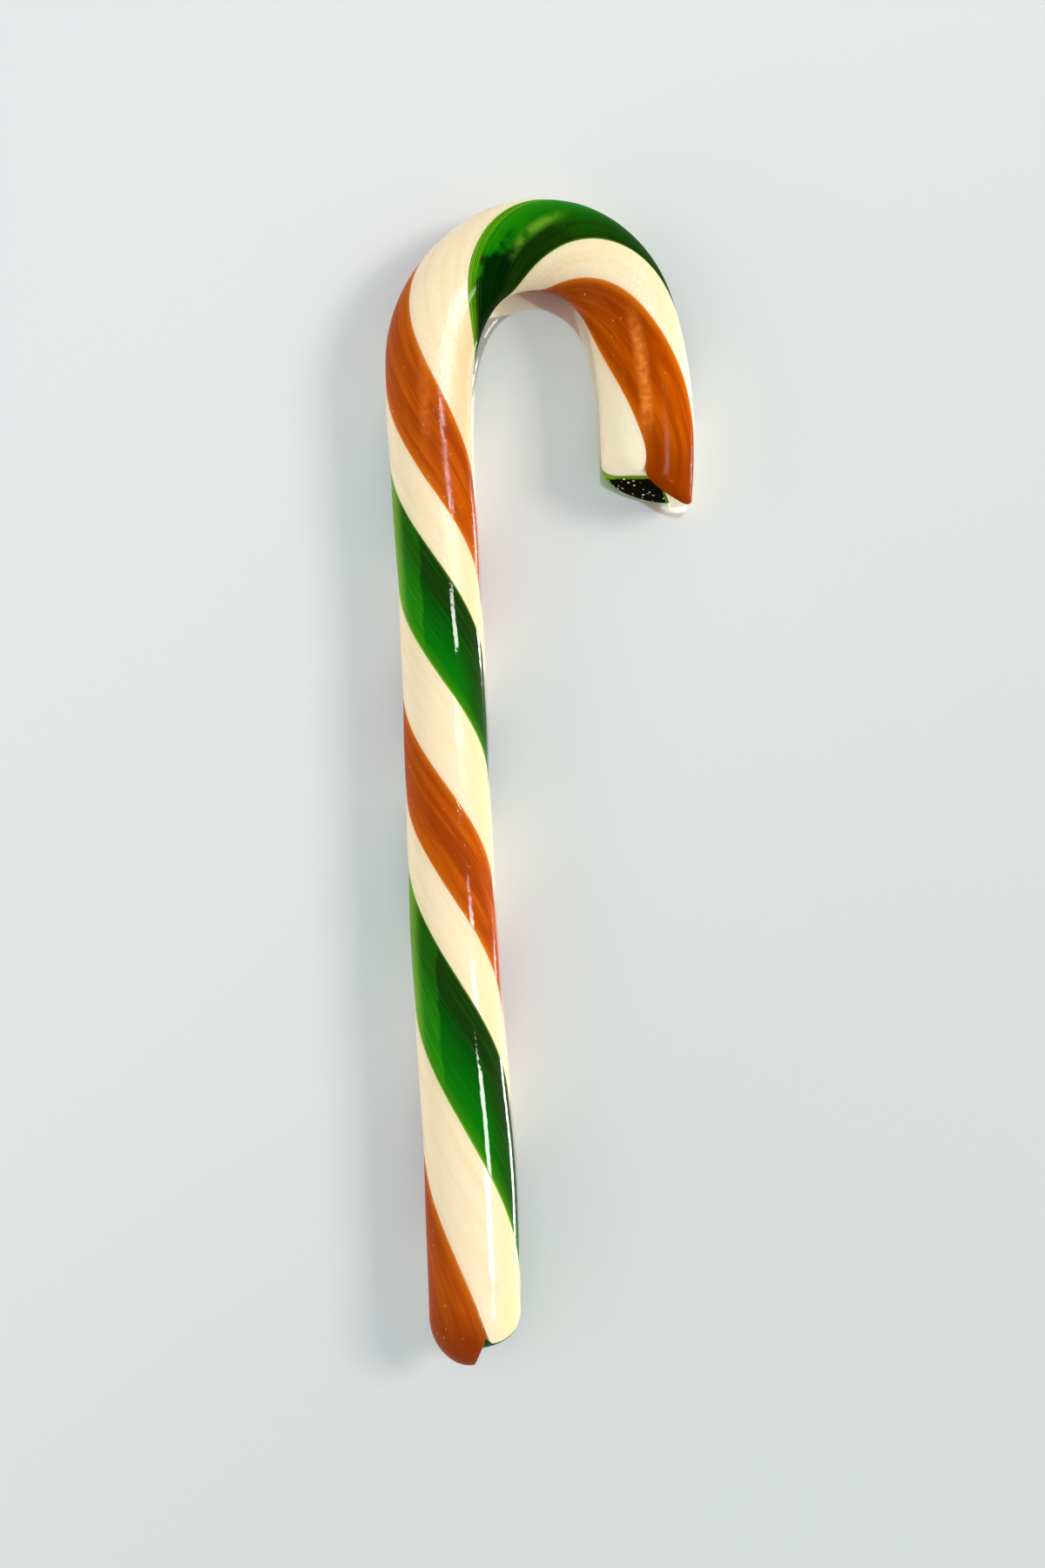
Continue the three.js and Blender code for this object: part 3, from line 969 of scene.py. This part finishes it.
class CANE_OT_finishes(bpy.types.Operator):
    """Give each strand its sugar: cloudy caramel, opaque cream or clear green"""
    bl_idname = "cane.finishes"
    bl_label = "Colour the strands"
    bl_options = {"REGISTER", "UNDO"}

    def execute(self, context):
        colours = context.scene.cane_colours
        made = {
            "caramel_sugar": caramel_finish(colours),
            "cream_sugar": cream_finish(colours),
            "green_sugar": green_finish(colours),
        }
        for name, spec in STRANDS.items():
            piece = bpy.data.objects["sugar_" + name]
            piece.data.materials.clear()
            piece.data.materials.append(made[spec["slot"]])
        return {"FINISHED"}


# ---- Stage ----

TABLE_SIDE = 3.0                  # side of the table top, m
TABLE_FADE = 0.16                 # its tone changes as far as this either side of the middle, m
CAMERA_LEFT = 0.112               # camera's place off the cane's middle, as shares of its
CAMERA_DOWN = 0.004               # width and length
ROOM_COLOUR = (0.93, 1.0, 1.02, 1)


def area_light(name, middle, place, size, power, colour, aim_height=0.0, glossy=True, diffuse=True):
    """A rectangular light at a place from the cane's middle, turned to face it."""
    light = bpy.data.lights.new(name, "AREA")
    light.shape = "RECTANGLE"
    light.size, light.size_y = size
    light.energy = power
    light.color = colour
    holder = new_object(name, light)
    stand = Vector((middle.x, middle.y, 0)) + Vector(place)
    aim = Vector((middle.x, middle.y, aim_height))
    holder.location = stand
    holder.rotation_euler = (aim - stand).to_track_quat("-Z", "Y").to_euler()
    holder.visible_glossy = glossy
    holder.visible_diffuse = diffuse


class CANE_OT_stage(bpy.types.Operator):
    """Set the table, the lights and the camera above the cane"""
    bl_idname = "cane.stage"
    bl_label = "Set the stage"
    bl_options = {"REGISTER", "UNDO"}

    def execute(self, context):
        stage = context.scene.cane_stage
        low, high = Vector(CAD_BOX[0]), Vector(CAD_BOX[1])
        middle = (low + high) / 2
        self.lay_floor(context, stage)
        self.light_room(context, stage, middle)
        self.place_camera(context, stage, middle, high - low)
        context.scene.view_settings.view_transform = "Standard"
        return {"FINISHED"}

    def lay_floor(self, context, stage):
        start_fresh()
        bpy.ops.mesh.primitive_plane_add(size=TABLE_SIDE)
        floor = context.object
        floor.name = "table"
        finish = Finish("glossy table")
        x, y, _ = finish.split(finish.place)
        tone = finish.blend(
            finish.ramp(finish.calc("SUBTRACT", x, y), -TABLE_FADE, TABLE_FADE),
            linear(stage.floor), linear(stage.floor_far))
        finish.set(Base_Color=tone, Metallic=stage.floor_mirror, Roughness=0.07,
                   Specular_IOR_Level=0.0)
        floor.data.materials.append(finish.material)

    def light_room(self, context, stage, middle):
        area_light("key", middle, place=(1.107, 0.235, 0.984),
                   size=(stage.key_size, stage.key_size), power=stage.key_power,
                   colour=(1.0, 0.94, 0.88), glossy=False)
        area_light("glint", middle, place=(0.72, -0.211, 0.69), size=(0.222, 0.19),
                   power=stage.glint_power, colour=(1.0, 0.98, 0.95), diffuse=False)
        area_light("neck glint", middle, place=(0.66, 0.13, 0.75), size=(0.10, 0.20),
                   power=stage.neck_power, colour=(1.0, 0.98, 0.95), diffuse=False)
        area_light("fill", middle, place=(-0.35, 0.25, 1.2), size=(1.6, 1.6),
                   power=stage.fill_power, colour=(0.95, 1.0, 1.0), glossy=False)
        area_light("side", middle, place=(-0.9, 0.0, 0.35), size=(1.6, 0.6), aim_height=0.05,
                   power=stage.side_power, colour=(1.0, 0.96, 0.97), glossy=False)
        world = bpy.data.worlds.new("room")
        world.use_nodes = True
        shade = world.node_tree.nodes["Background"]
        shade.inputs["Color"].default_value = ROOM_COLOUR
        shade.inputs["Strength"].default_value = stage.sky
        context.scene.world = world

    def place_camera(self, context, stage, middle, size):
        camera = bpy.data.cameras.new("camera")
        camera.lens = 50
        camera.sensor_width = 36
        holder = new_object("camera", camera)
        holder.location = (
            middle.x - CAMERA_LEFT * size.x, middle.y - CAMERA_DOWN * size.y,
            context.scene.cane_sizes.axis_height + stage.camera_height)
        holder.rotation_euler = (0, 0, -stage.camera_roll)
        context.scene.camera = holder


class VIEW3D_PT_cane(bpy.types.Panel):
    """Sizes, colours and steps of the candy cane"""
    bl_label = "Candy Cane"
    bl_space_type = "VIEW_3D"
    bl_region_type = "UI"
    bl_category = "Candy Cane"

    def draw(self, context):
        layout = self.layout
        scene = context.scene
        for label, group in (
                ("Sizes", scene.cane_sizes), ("Colours", scene.cane_colours),
                ("Stage", scene.cane_stage)):
            box = layout.box()
            box.label(text=label)
            for key in group.bl_rna.properties.keys():
                if key not in {"rna_type", "name"}:
                    box.prop(group, key)
        for name in STRANDS:
            layout.operator("cane.strand", text="Add " + name.replace("_", " ")).piece = name
        for step in ("cane.settle", "cane.finishes", "cane.stage"):
            layout.operator(step)


GROUPS = {"cane_sizes": CaneSizes, "cane_colours": CaneColours, "cane_stage": CaneStage}
CLASSES = (*GROUPS.values(), CANE_OT_strand, CANE_OT_settle, CANE_OT_finishes, CANE_OT_stage,
           VIEW3D_PT_cane)


def register():
    for kind in CLASSES:
        bpy.utils.register_class(kind)
    for name, kind in GROUPS.items():
        setattr(bpy.types.Scene, name, PointerProperty(type=kind))


def unregister():
    for name in GROUPS:
        delattr(bpy.types.Scene, name)
    for kind in reversed(CLASSES):
        bpy.utils.unregister_class(kind)


def main():
    register()
    for name in STRANDS:
        bpy.ops.cane.strand(piece=name)
    bpy.ops.cane.settle()
    bpy.ops.cane.finishes()
    bpy.ops.cane.stage()


if __name__ == "__main__":
    main()
